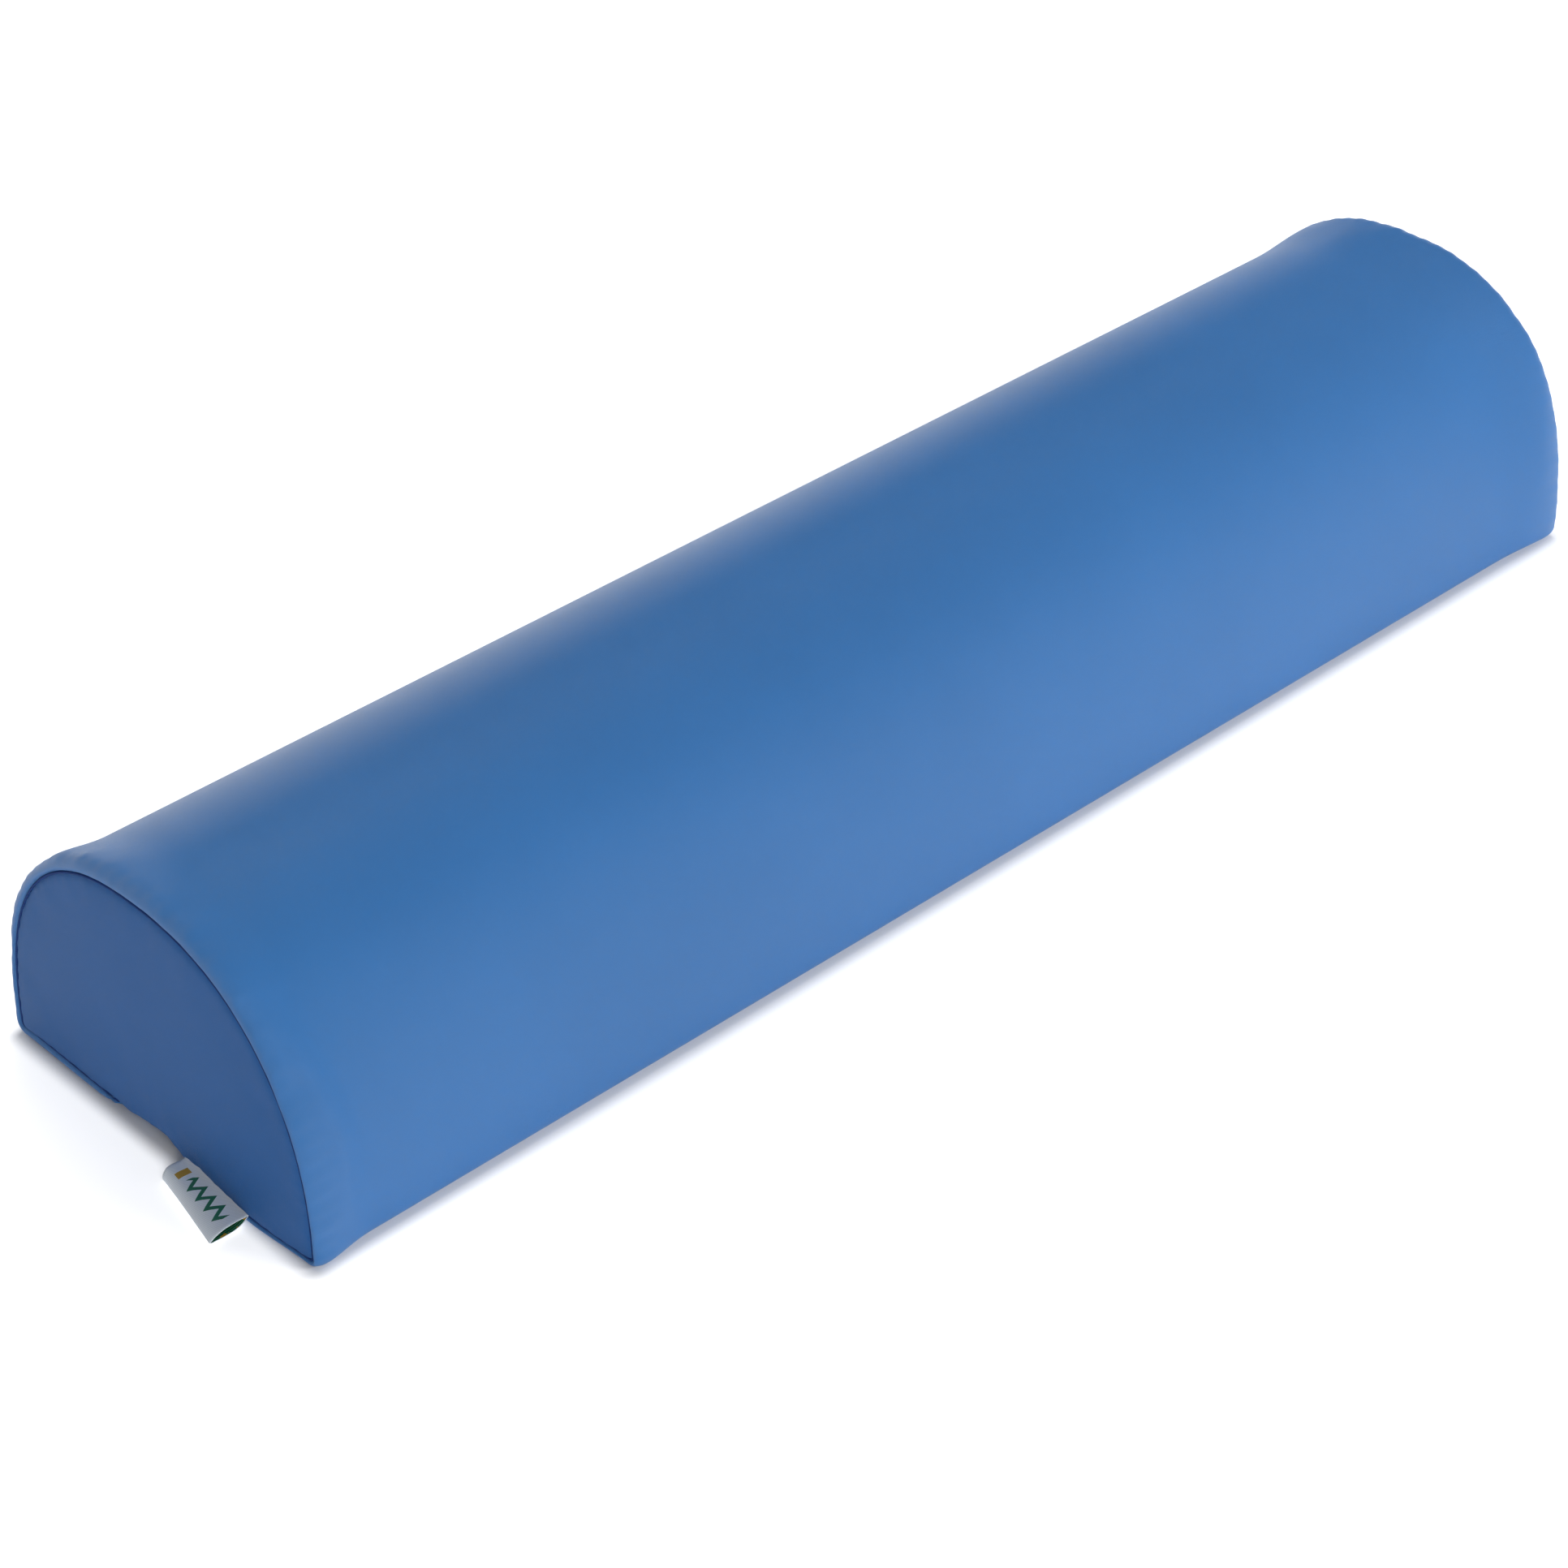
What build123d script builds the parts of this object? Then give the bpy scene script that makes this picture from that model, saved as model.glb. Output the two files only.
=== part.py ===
from build123d import *

import math
import os

# A half-round positioning bolster: one soft foam core in a zipped leatherette cover.
# Millimetres. +X runs along the bolster from its labelled front end (-X) to its rear end (+X),
# +Y is across it (left), +Z is up. The origin is the centre of the underside, on the floor plane.

# ---- driving dimensions -------------------------------------------------------------------
LENGTH = 600.0            # rim to rim
HALF_WIDTH = 80.0         # at the end rims
FLANK = 20.0              # height of the straight sides, below the half-round crown
LEATHER = 1.2             # leatherette with its backing cloth

RIM_FLARE = 1.7           # the body is this much slimmer than its end rims, where the cover is unstitched
FLARE_LENGTH = 30.0       # over this length from each rim
RIM_ROLL = 2.5            # radius the cover rolls over at the rim
RIM_CORNER = 4.0          # radius of the underside's long edges at the rims
BODY_CORNER = 7.0         # and along the body

SEAM_INSET = 4.0          # from the rim's outline in to the end panel's seam
SEAM_RECESS = 0.6         # end panel sits this far inside the rim's plane
ALLOWANCE_DEPTH = 11.0    # seam allowances are turned in this far
PLY_GAP = 0.05            # between two plies sewn face to face
SEAM_CORNER = 1.5         # corner radius of the opening that the end panel closes
FOAM_EASE = 0.2           # between foam and cover
BEYOND = 1.0              # how far a cutting shape runs past what it cuts

# zip channel, all heights above the floor plane
CHANNEL_MOUTH = 17.0      # half width where the underside starts to rise
CHANNEL_SHOULDER = 9.0    # half width where it is flat again
HEM_EDGE = 5.5            # half width between the two folded hems
HEM_BACK = 16.0           # the hem's raw edge inside
CHANNEL_DEPTH = 5.0
TAPE_INNER = 0.6          # half gap between the two tapes and their coils
TAPE_OUTER = 14.0
TAPE_THICK = 0.6
COIL_WIDTH = 2.6
COIL_HEIGHT = 2.0
NOTCH_RISE = 1.3          # end panel's lower edge passes this far above the tapes
NOTCH_EASE = 1.0          # and this far outside the channel's walls

STITCH_PITCH = 6.0
STITCH_CORNER = 3.0       # a seam's straight rows stop this far from its corners
STITCH_LENGTH = 4.2
THREAD = 0.5
HEM_STITCH_Y = 7.6        # row of stitches that holds each hem to its tape

SLIDER_X = 284.0          # slider's middle with the zip closed
SLIDER_LENGTH = 11.0
SLIDER_HALF_WIDTH = 5.0
SLIDER_WALL = 0.9
SLIDER_PLATE = 1.1
SLIDER_CORNER = 2.0
SLIDER_RUN_EASE = 1.0     # foam is cut back this far from the slider's path
COIL_CLEARANCE = 0.4
TAPE_CLEARANCE = 0.3
DIVIDER_HALF = 0.35       # the slider's wedge, between the two coils
DIVIDER_LENGTH = 3.0
BRIDGE_HALF_LENGTH = 3.5
BRIDGE_HALF_WIDTH = 1.1
BRIDGE_BAR = 0.9
BRIDGE_DROP = 2.4         # from the outer plate to the underside of the bridge
BRIDGE_POST = 1.0

PULL_PIN_X = SLIDER_X - 1.7
PULL_PIN_Z = 3.15
PULL_PIN_RADIUS = 0.55
PULL_LENGTH = 26.0
PULL_HALF_WIDTH = 4.0
PULL_THICK = 1.0
PULL_WINDOW = 6.4         # length of the eye that the bridge stands in
PULL_WINDOW_HALF = 1.7
PULL_DROOP = 4.6          # degrees below level, as it hangs
PULL_SLOT = 4.0           # size of the square slot near the free end
PULL_TIP = 3.0            # material beyond that slot, and the free end's corner radius

LABEL_MIDDLE_Y = -30.0
LABEL_WIDTH = 34.0
LABEL_PLY = 0.4
LABEL_REACH = 13.1        # how far the folded end stands out from the rim
LABEL_SEAM_Z = 4.6        # underside of the label where it leaves the seam

# ---- dimensions that follow ---------------------------------------------------------------
RIM_X = LENGTH / 2
HEM_LOW = CHANNEL_DEPTH
HEM_HIGH = CHANNEL_DEPTH + 2 * LEATHER
TAPE_LOW = HEM_HIGH
TAPE_HIGH = TAPE_LOW + TAPE_THICK
COIL_LOW = TAPE_LOW - COIL_HEIGHT
NOTCH_Z = TAPE_HIGH + NOTCH_RISE
PANEL_INSET = SEAM_INSET + PLY_GAP
PANEL_OUTSIDE = RIM_X - SEAM_RECESS
PANEL_INSIDE = PANEL_OUTSIDE - LEATHER
ALLOWANCE_X = RIM_X - ALLOWANCE_DEPTH
FOAM_INSET = RIM_FLARE + LEATHER + FOAM_EASE
FOAM_BASE = LEATHER + FOAM_EASE
FOAM_END_INSET = PANEL_INSET + LEATHER + FOAM_EASE
FOAM_END_X = PANEL_INSIDE - FOAM_EASE
PLATE_TOP = COIL_LOW - COIL_CLEARANCE
PLATE_LOW = PLATE_TOP - SLIDER_PLATE
INNER_PLATE_LOW = TAPE_HIGH + TAPE_CLEARANCE
INNER_PLATE_HIGH = INNER_PLATE_LOW + SLIDER_PLATE


# ---- helpers ------------------------------------------------------------------------------
def section_plane(x):
    """Plane across the bolster at x, with local x along +Y and local y along +Z."""
    return Plane(origin=(x, 0, 0), x_dir=(0, 1, 0), z_dir=(1, 0, 0))


def d_section(x, inset, base, corner):
    """D-shaped face at x: the rim's outline drawn in by inset, on a flat base."""
    half = HALF_WIDTH - inset
    with BuildSketch(section_plane(x)) as sketch:
        with BuildLine():
            Line((-half, base), (half, base))
            Line((half, base), (half, FLANK))
            ThreePointArc((half, FLANK), (0, FLANK + half), (-half, FLANK))
            Line((-half, FLANK), (-half, base))
        make_face()
        if corner > 0:
            fillet(sketch.vertices().group_by(Axis.Y)[0], corner)
    return sketch.sketch


def d_prism(x_from, x_to, inset, base, corner):
    """D-shaped bar between two places along the bolster."""
    return extrude(d_section(x_from, inset, base, corner), amount=x_to - x_from)


def d_body(inset, base, rim_x):
    """The flared body, its outline drawn in by inset: waisted middle, wider at both rims."""
    waist_x = RIM_X - FLARE_LENGTH
    waist = RIM_FLARE + inset
    body = d_prism(-waist_x, waist_x, waist, base, BODY_CORNER - inset)
    for side in (-1, 1):
        narrow = d_section(side * waist_x, waist, base, BODY_CORNER - inset)
        wide = d_section(side * rim_x, inset, base, RIM_CORNER - inset)
        body += loft([narrow, wide], ruled=True)
    return body


def block(x_span, y_span, z_span):
    """Axis-aligned bar given by its limits along each axis."""
    size = [high - low for low, high in (x_span, y_span, z_span)]
    middle = [(high + low) / 2 for low, high in (x_span, y_span, z_span)]
    return Pos(*middle) * Box(*size)


def along_body(points, x_from, x_to):
    """Bar along the bolster whose section is the polygon of (y, z) points."""
    with BuildSketch(section_plane(x_from)) as sketch:
        with BuildLine():
            Polyline(*points, close=True)
        make_face()
    return extrude(sketch.sketch, amount=x_to - x_from)


def both_sides(shape_at):
    """The same shape for the left (+Y, side 1) and right (-Y, side -1)."""
    return {"left": shape_at(1), "right": shape_at(-1)}


def mirrored_points(points, side):
    """Section points for one side of the zip."""
    return [(side * y, z) for y, z in points]


def keep_clear_of_zip(ring):
    """Opens an end's turned-in ring where the zip passes through the lower seam."""
    clear = CHANNEL_MOUTH + NOTCH_EASE
    return ring - block((-RIM_X, RIM_X), (-clear, clear), (-BEYOND, NOTCH_Z + LEATHER))


# ---- cover --------------------------------------------------------------------------------
def channel_space():
    """The space under the zip, from the floor up between the hems."""
    mouth, shoulder = CHANNEL_MOUTH, CHANNEL_SHOULDER
    points = [(-mouth, 0), (-shoulder, HEM_LOW), (-HEM_EDGE, HEM_LOW), (-HEM_EDGE, NOTCH_Z)]
    points += [(-y, z) for y, z in reversed(points)]
    points = [(-mouth, -BEYOND)] + points + [(mouth, -BEYOND)]
    return along_body(points, -RIM_X - BEYOND, RIM_X + BEYOND)


def hem(side):
    """One underside edge: it rises into the channel and folds back over itself."""
    rise = math.atan2(HEM_LOW, CHANNEL_MOUTH - CHANNEL_SHOULDER)
    thick_y = LEATHER / math.sin(rise)
    slope = (CHANNEL_MOUTH - CHANNEL_SHOULDER) / HEM_LOW
    fold_y = CHANNEL_SHOULDER + thick_y - slope * LEATHER
    foot_y = CHANNEL_MOUTH + thick_y - slope * LEATHER
    points = [
        (foot_y, 0),
        (CHANNEL_MOUTH, 0),
        (CHANNEL_SHOULDER, HEM_LOW),
        (HEM_EDGE, HEM_LOW),
        (HEM_EDGE, HEM_HIGH),
        (HEM_BACK, HEM_HIGH),
        (HEM_BACK, HEM_LOW + LEATHER),
        (fold_y, HEM_LOW + LEATHER),
        (foot_y, LEATHER),
    ]
    return along_body(mirrored_points(points, side), -RIM_X + RIM_ROLL, RIM_X - RIM_ROLL)


def wrap_panel():
    """One sheet over the crown, down both flanks and under to the zip, rolled in at both rims."""
    outside = d_body(0, 0, RIM_X)
    for side in (-1, 1):
        rim = outside.edges().filter_by_position(Axis.X, side * RIM_X - 0.01, side * RIM_X + 0.01)
        outside = fillet(rim, RIM_ROLL)
    shell = outside - d_body(LEATHER, LEATHER, RIM_X - LEATHER)
    for side in (-1, 1):
        rim_x, inner_x, deep_x = side * RIM_X, side * (RIM_X - LEATHER), side * ALLOWANCE_X
        past = side * BEYOND
        outer = SEAM_INSET - LEATHER
        shell -= d_prism(rim_x + past, inner_x - past, SEAM_INSET, SEAM_INSET, SEAM_CORNER)
        turned_in = d_prism(inner_x, deep_x, outer, outer, SEAM_CORNER + LEATHER)
        turned_in -= d_prism(inner_x + past, deep_x - past, SEAM_INSET, SEAM_INSET, SEAM_CORNER)
        shell += keep_clear_of_zip(turned_in)
    shell -= channel_space()
    return shell + hem(1) + hem(-1)


def end_panel(side):
    """D-shaped end piece with its seam allowance turned in, notched over the zip."""
    outer_x, inner_x, deep_x = side * PANEL_OUTSIDE, side * PANEL_INSIDE, side * ALLOWANCE_X
    corner = SEAM_CORNER - PLY_GAP
    past = side * BEYOND
    inset = PANEL_INSET + LEATHER
    face = d_prism(outer_x, inner_x, PANEL_INSET, PANEL_INSET, corner)
    turned_in = d_prism(inner_x, deep_x, PANEL_INSET, PANEL_INSET, corner)
    turned_in -= d_prism(inner_x + past, deep_x - past, inset, inset, corner - LEATHER)
    mouth, shoulder = CHANNEL_MOUTH + NOTCH_EASE, CHANNEL_SHOULDER + NOTCH_EASE
    notch = [(-mouth, -BEYOND), (-mouth, PANEL_INSET), (-shoulder, NOTCH_Z)]
    notch += [(-y, z) for y, z in reversed(notch)]
    return face + keep_clear_of_zip(turned_in) - along_body(notch, -RIM_X - BEYOND, RIM_X + BEYOND)


def seam_thread(side):
    """Stitches of one end seam, lying in the crease between rim and end panel."""
    inset = PANEL_INSET + THREAD / 2 + PLY_GAP
    x = side * (PANEL_OUTSIDE + THREAD / 2)
    half = HALF_WIDTH - inset
    half_turn = math.degrees(STITCH_LENGTH / half) / 2
    places = []
    crown_count = int(math.pi * half / STITCH_PITCH)
    for index in range(crown_count):
        angle = 180.0 * (index + 0.5) / crown_count
        places.append(Pos(x, 0, FLANK) * Rot(angle, 0, 0) * Pos(0, half, 0) * Rot(90, 0, 0))
    flank_count = int((FLANK - SEAM_INSET) / STITCH_PITCH)
    for index in range(flank_count):
        z = FLANK - (index + 0.5) * STITCH_PITCH
        places += [Pos(x, half * edge, z) * Rot(90, 0, 0) for edge in (-1, 1)]
    base_start = CHANNEL_MOUTH + STITCH_CORNER
    base_count = int((half - STITCH_CORNER - base_start) / STITCH_PITCH)
    for index in range(base_count):
        y = base_start + (index + 0.5) * STITCH_PITCH
        places += [Pos(x, y * edge, PANEL_INSET + THREAD / 2 + PLY_GAP) for edge in (-1, 1)]
    chord = 2 * half * math.sin(math.radians(half_turn))
    stitch = Box(THREAD, chord, THREAD)
    return Compound(children=[place * stitch for place in places])


def woven_label():
    """Folded satin loop caught in the front end's lower seam, drooping to the floor."""
    seam_x, fold_x, plies = -RIM_X, -RIM_X - LABEL_REACH, 2 * LABEL_PLY
    low, high = LABEL_SEAM_Z, LABEL_SEAM_Z + plies
    plane = Plane(origin=(0, LABEL_MIDDLE_Y - LABEL_WIDTH / 2, 0), x_dir=(1, 0, 0), z_dir=(0, -1, 0))
    with BuildSketch(plane) as sketch:
        with BuildLine():
            ThreePointArc((seam_x, high), (seam_x - 7.0, high - plies), (fold_x + 0.5, 1.3))
            ThreePointArc((fold_x + 0.5, 1.3), (fold_x, 0.6), (fold_x + 0.7, 0.15))
            ThreePointArc((fold_x + 0.7, 0.15), (seam_x - 6.5, 1.3), (seam_x, low))
            Line((seam_x, low), (seam_x, high))
        make_face()
        offset(amount=-LABEL_PLY, mode=Mode.SUBTRACT)
    return extrude(sketch.sketch, amount=-LABEL_WIDTH)


# ---- foam ---------------------------------------------------------------------------------
def foam_core():
    """One half-round of upholstery foam, relieved for the zip and for the end seams."""
    full_x = ALLOWANCE_X - FOAM_EASE
    core = d_prism(-full_x, full_x, FOAM_INSET, FOAM_BASE, BODY_CORNER - LEATHER)
    core += d_prism(-FOAM_END_X, FOAM_END_X, FOAM_END_INSET, FOAM_END_INSET, SEAM_CORNER)
    hems = CHANNEL_MOUTH + LEATHER + FOAM_EASE
    core -= block((-RIM_X, RIM_X), (-hems, hems), (-BEYOND, TAPE_HIGH + FOAM_EASE))
    run = SLIDER_HALF_WIDTH + SLIDER_RUN_EASE
    return core - block((-RIM_X, RIM_X), (-run, run), (-BEYOND, INNER_PLATE_HIGH + SLIDER_RUN_EASE))


# ---- zip ----------------------------------------------------------------------------------
def zip_tape(side):
    """One woven tape, sewn to its hem and caught in both end seams."""
    inner, outer = sorted((side * TAPE_INNER, side * TAPE_OUTER))
    return block((-FOAM_END_X, FOAM_END_X), (inner, outer), (TAPE_LOW, TAPE_HIGH))


def zip_coil(side):
    """One run of coil teeth, as the bar that the coil fills."""
    inner, outer = sorted((side * TAPE_INNER, side * (TAPE_INNER + COIL_WIDTH)))
    return block((-FOAM_END_X, FOAM_END_X), (inner, outer), (COIL_LOW, TAPE_LOW))


def zip_stitching(side):
    """Row of stitches on the underside of one hem."""
    count = int((2 * ALLOWANCE_X) / STITCH_PITCH)
    first = -(count - 1) * STITCH_PITCH / 2
    stitch = Box(STITCH_LENGTH, THREAD, THREAD)
    z = HEM_LOW - THREAD / 2
    row = [Pos(first + index * STITCH_PITCH, side * HEM_STITCH_Y, z) * stitch for index in range(count)]
    return Compound(children=row)


def zip_slider():
    """Slider body: two plates joined by the divider, side walls, and the bridge for the pull."""
    nose, tail = SLIDER_X + SLIDER_LENGTH / 2, SLIDER_X - SLIDER_LENGTH / 2
    wide = (-SLIDER_HALF_WIDTH, SLIDER_HALF_WIDTH)
    slider = block((nose - DIVIDER_LENGTH, nose), (-DIVIDER_HALF, DIVIDER_HALF), (PLATE_TOP, INNER_PLATE_LOW))
    for z_span in ((PLATE_LOW, PLATE_TOP), (INNER_PLATE_LOW, INNER_PLATE_HIGH)):
        plate = block((tail, nose), wide, z_span)
        slider += fillet(plate.edges().filter_by(Axis.Z), SLIDER_CORNER)
    for side in (-1, 1):
        wall = sorted((side * SLIDER_HALF_WIDTH, side * (SLIDER_HALF_WIDTH - SLIDER_WALL)))
        along = (tail + SLIDER_CORNER, nose - SLIDER_CORNER)
        slider += block(along, wall, (PLATE_TOP, TAPE_LOW - TAPE_CLEARANCE))
    span = (SLIDER_X - BRIDGE_HALF_LENGTH, SLIDER_X + BRIDGE_HALF_LENGTH)
    across = (-BRIDGE_HALF_WIDTH, BRIDGE_HALF_WIDTH)
    low = PLATE_LOW - BRIDGE_DROP
    bridge = block(span, across, (low, PLATE_LOW))
    eye = (span[0] + BRIDGE_POST, span[1] - BRIDGE_POST)
    bridge -= block(eye, across, (low + BRIDGE_BAR, PLATE_LOW))
    return slider + bridge


def zip_pull_tab():
    """Flat tab with an eye round the slider's bridge, hanging a little below level."""
    across = (-PULL_HALF_WIDTH, PULL_HALF_WIDTH)
    thick = (-PULL_THICK / 2, PULL_THICK / 2)
    tab = block((-PULL_LENGTH, 0), across, thick)
    tab = fillet(tab.edges().filter_by(Axis.Z).group_by(Axis.X)[0], PULL_TIP)
    tab -= block((-PULL_WINDOW, -PULL_PIN_RADIUS), (-PULL_WINDOW_HALF, PULL_WINDOW_HALF), thick)
    slot_x = -PULL_LENGTH + PULL_TIP
    tab -= block((slot_x, slot_x + PULL_SLOT), (-PULL_SLOT / 2, PULL_SLOT / 2), thick)
    pin = Rot(90, 0, 0) * Cylinder(PULL_PIN_RADIUS, 2 * PULL_HALF_WIDTH)
    return Pos(PULL_PIN_X, 0, PULL_PIN_Z) * Rot(0, -PULL_DROOP, 0) * (tab + pin)


# ---- all nodes ----------------------------------------------------------------------------
nodes = {
    "foam_core": foam_core(),
    "wrap_panel": wrap_panel(),
    "front_end_panel": end_panel(-1),
    "rear_end_panel": end_panel(1),
    "front_seam_thread": seam_thread(-1),
    "rear_seam_thread": seam_thread(1),
    "woven_label": woven_label(),
    "zip_slider": zip_slider(),
    "zip_pull_tab": zip_pull_tab(),
}
for piece, shape_at in (("tape", zip_tape), ("coil", zip_coil), ("stitching", zip_stitching)):
    for name, shape in both_sides(shape_at).items():
        nodes[f"zip_{piece}_{name}"] = shape

os.makedirs("parts", exist_ok=True)
for node, shape in nodes.items():
    export_step(shape, f"parts/{node}.step")
    box = shape.bounding_box()
    print(f"{node:22s} {box.min.X:8.1f} {box.max.X:8.1f} {box.min.Y:7.1f} {box.max.Y:7.1f}"
          f" {box.min.Z:6.2f} {box.max.Z:6.2f}  {shape.volume / 1000:9.2f} cm3")
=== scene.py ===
"""Looks of the half-round bolster: a sewn leatherette cover over foam, with a zip underneath.

Metres in Blender, millimetres in the shape formulas (times MM). +X runs from the labelled front
end to the rear end, +Y is left, +Z is up, and the floor is z = 0.
"""
import math

import bpy
import numpy as np
from mathutils import Matrix, Vector


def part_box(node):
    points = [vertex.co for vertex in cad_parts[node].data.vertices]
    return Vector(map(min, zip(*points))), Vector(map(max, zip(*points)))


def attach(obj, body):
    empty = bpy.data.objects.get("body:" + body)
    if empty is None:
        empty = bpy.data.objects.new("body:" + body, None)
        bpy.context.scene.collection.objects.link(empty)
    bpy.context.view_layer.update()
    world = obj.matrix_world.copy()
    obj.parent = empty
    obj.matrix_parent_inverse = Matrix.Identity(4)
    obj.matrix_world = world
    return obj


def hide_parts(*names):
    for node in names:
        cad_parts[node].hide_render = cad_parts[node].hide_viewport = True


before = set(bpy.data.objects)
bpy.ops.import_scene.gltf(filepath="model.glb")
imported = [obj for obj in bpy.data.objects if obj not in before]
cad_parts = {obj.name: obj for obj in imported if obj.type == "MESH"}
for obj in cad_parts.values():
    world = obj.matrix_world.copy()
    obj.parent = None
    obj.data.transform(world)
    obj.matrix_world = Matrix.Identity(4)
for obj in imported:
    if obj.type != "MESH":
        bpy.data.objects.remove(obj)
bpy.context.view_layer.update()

MM = 0.001

# ---- places taken from the frame, in millimetres ------------------------------------------
WRAP_HIGH = Vector(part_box("wrap_panel")[1]) / MM
TAPE_LOW, TAPE_HIGH = (Vector(corner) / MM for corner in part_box("zip_tape_left"))
COIL_LOW, COIL_HIGH = (Vector(corner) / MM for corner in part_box("zip_coil_left"))
HEM_STITCH_LOW, HEM_STITCH_HIGH = (Vector(corner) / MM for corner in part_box("zip_stitching_left"))
LABEL_LOW, LABEL_HIGH = (Vector(corner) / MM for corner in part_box("woven_label"))
RIM_SWELL = 0.6          # the rims stand this much above the CAD cover
RIM_X = WRAP_HIGH.x
HALF_WIDTH = round(WRAP_HIGH.y)
RIM_TOP = round(WRAP_HIGH.z) + RIM_SWELL

# ---- the cover's outline, millimetres -----------------------------------------------------
BODY_SLIM = 1.7          # the body is this much slimmer than its rims
FLARE_FRONT = 22.0       # length over which the front rim flares out
FLARE_REAR = 34.0
FLARE_EASE = 1.3         # exponent that sharpens the flare towards the rim
CROWN_POWER = 2.33       # exponent of the outline's superellipse
CROWN_BASE = 2.4         # height at which the outline is widest
# radius of the underside's long edges, at the front rim (-1), near mid-length (0) and the rear rim (1)
RIM_CORNER = {-1: 5.0, 0: 4.5, 1: 5.0}
BODY_CORNER = 5.5        # and along the body
LEATHER = 1.1
CHANNEL_MOUTH = 17.0     # zip recess, as half widths and heights
CHANNEL_SHOULDER = 9.0
HEM_EDGE = 5.5
HEM_LOW = 5.0
HEM_HIGH = 7.3
HEM_BACK = 16.0

SEAM_HALF_WIDTH = 76.3
SEAM_TOP = 95.3
SEAM_CORNER = 1.4
SEAM_DEPTH = 3.0         # the crease bottoms this far inside the rim
ROLL_RADIUS = 3.8        # the wrap rolls over the rim in this length
ROLL_APEX = 0.60         # where the roll is furthest out, from rim outline (0) to seam (1)
FLANK_ROLL = 1.9         # how much longer the roll is over the right flank and the crown
CROWN_ROLL = 0.4
TURNED_IN = 9.0          # hidden seam allowance
RUN_OUT = 12.0           # rows are placed finely until this far past the flare
ZIP_END = (-16.0, 17.0)  # between these y the panel hangs free over the end of the zip
ZIP_END_FADE = (7.0, 11.0)      # and is sewn again this far past them
ZIP_END_HEIGHT = 20.0    # only what is lower than this hangs free
ZIP_END_BACK = 3.3       # there the wrap stops this far behind the rim's plane
ZIP_END_ARCH = 13.0      # and its underside lifts off the floor over this length

STITCH_PITCH = 6.0
REAR_FULLNESS = 2.3      # the rear rim bulges this much more on its right shoulder
FRONT_FULLNESS = 0.9     # and the front rim on its left flank
ROLL_CREST = 1.0         # the front's right flank crests this much behind the roll
RIPPLE = {-1: 0.30, 0: 0.0, 1: 0.19}      # depth of the ripples along each rim

# height of the end panels' lower edge against y, from the right corner to the left
SEAM_RISE = [(-80, 2.4), (-62, 2.6), (-47, 3.0), (-18, 3.2), (-13.1, 3.5), (-10.3, 4.5), (-6.8, 6.0),
             (-4.8, 6.9), (-2.8, 7.5), (4.2, 6.9), (10.8, 6.1), (19, 4.8), (25, 3.9), (43, 4.1),
             (68, 4.5), (80, 4.2)]
# how far the wrap's underside is drawn up off the floor behind that edge
ARCH_RISE = [(-24, 0.0), (-18, 3.0), (-12, 5.0), (17, 5.0), (22, 4.2), (30, 2.3), (38, 1.0), (48, 0.0)]


# ---- small tools --------------------------------------------------------------------------
def smooth(t):
    """Smoothstep of t, clamped to 0..1."""
    t = np.clip(t, 0.0, 1.0)
    return t * t * (3 - 2 * t)


def keyed(keys, at, reach=1.5):
    """Value at `at` of a line through given keys, rounded over a short reach."""
    xs, ys = zip(*keys)
    offsets = np.linspace(-reach, reach, 7)
    return sum(np.interp(np.asarray(at) + o, xs, ys) for o in offsets) / len(offsets)


def waves(at, lengths, seed):
    """Sum of sines of the given wavelengths with seeded phases, about -1..1."""
    phases = np.random.default_rng(seed).uniform(0, 2 * math.pi, len(lengths))
    total = sum(np.sin(2 * math.pi * at / length + phase) for length, phase in zip(lengths, phases))
    return total / math.sqrt(len(lengths))


def resample(points, count):
    """The polyline `points` with `count` evenly spaced points."""
    points = np.asarray(points, float)
    run = np.concatenate([[0], np.cumsum(np.linalg.norm(np.diff(points, axis=0), axis=1))])
    at = np.linspace(0, run[-1], count)
    return np.stack([np.interp(at, run, points[:, i]) for i in range(points.shape[1])], axis=1)


def run_length(points):
    """Distance along a polyline at each of its points."""
    return np.concatenate([[0], np.cumsum(np.linalg.norm(np.diff(points, axis=0), axis=1))])


def mesh_object(name, verts_mm, faces, uv=None):
    """Smooth-shaded mesh object from millimetre vertices; uv is per vertex."""
    mesh = bpy.data.meshes.new(name)
    mesh.from_pydata((np.asarray(verts_mm) * MM).tolist(), [], [list(map(int, f)) for f in faces])
    mesh.validate()
    mesh.shade_smooth()
    if uv is not None:
        layer = mesh.uv_layers.new(name="UVMap")
        for loop in mesh.loops:
            layer.data[loop.index].uv = uv[loop.vertex_index]
    obj = bpy.data.objects.new(name, mesh)
    bpy.context.scene.collection.objects.link(obj)
    return obj


def grid_faces(rows, columns, wrap_columns=False, flip=False):
    """Quads of a rows x columns vertex grid."""
    last = columns if wrap_columns else columns - 1
    faces = []
    for r in range(rows - 1):
        for c in range(last):
            d = (c + 1) % columns
            quad = (r * columns + c, r * columns + d, (r + 1) * columns + d, (r + 1) * columns + c)
            faces.append(quad[::-1] if flip else quad)
    return faces


def apply_modifiers(obj):
    """Bakes an object's modifiers into its mesh."""
    graph = bpy.context.evaluated_depsgraph_get()
    baked = bpy.data.meshes.new_from_object(obj.evaluated_get(graph))
    obj.modifiers.clear()
    obj.data = baked
    return obj


def thicken(obj):
    """Gives a sheet of leatherette its thickness, inwards."""
    solid = obj.modifiers.new("leather", "SOLIDIFY")
    solid.thickness = LEATHER * MM
    solid.offset = -1
    solid.use_even_offset = False
    apply_modifiers(obj)


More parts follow.
